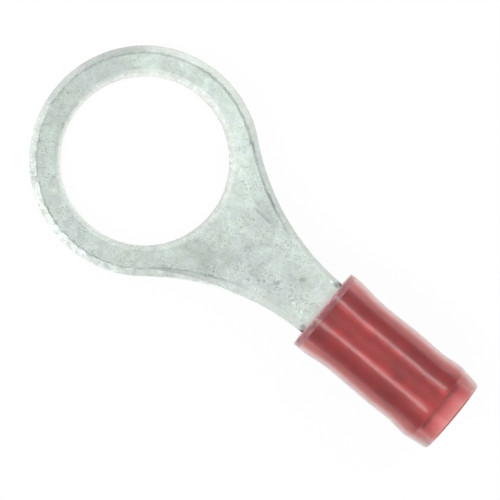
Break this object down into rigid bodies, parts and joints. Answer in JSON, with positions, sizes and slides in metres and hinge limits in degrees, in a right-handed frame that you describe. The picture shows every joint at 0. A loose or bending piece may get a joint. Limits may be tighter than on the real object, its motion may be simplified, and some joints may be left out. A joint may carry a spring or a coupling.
{
  "type": "ring terminal",
  "caption": "Pre-insulated crimp ring terminal: flat tin-plated ring tongue, tapering neck and rolled wire barrel with a metal grip under a clear red nylon sleeve.",
  "frame": {"origin": "centre of the stud hole, on the flat back face of the tongue, away from the barrel", "axes": "+Z out of the tongue's back face along the stud hole, +X from the stud hole to the wire end"},
  "size_m": [0.0302, 0.0134, 0.0053],
  "materials": {
    "tin_plated_copper": "matte electroplated tin over copper, with fine mottling and handling scuffs",
    "grip_brass": "plain drawn tube, satin",
    "red_nylon": "clear moulded red nylon, glossy"
  },
  "bodies": {
    "root": {"terminal": "tin_plated_copper", "support_sleeve": "grip_brass", "insulator": "red_nylon"}
  },
  "joints": []
}
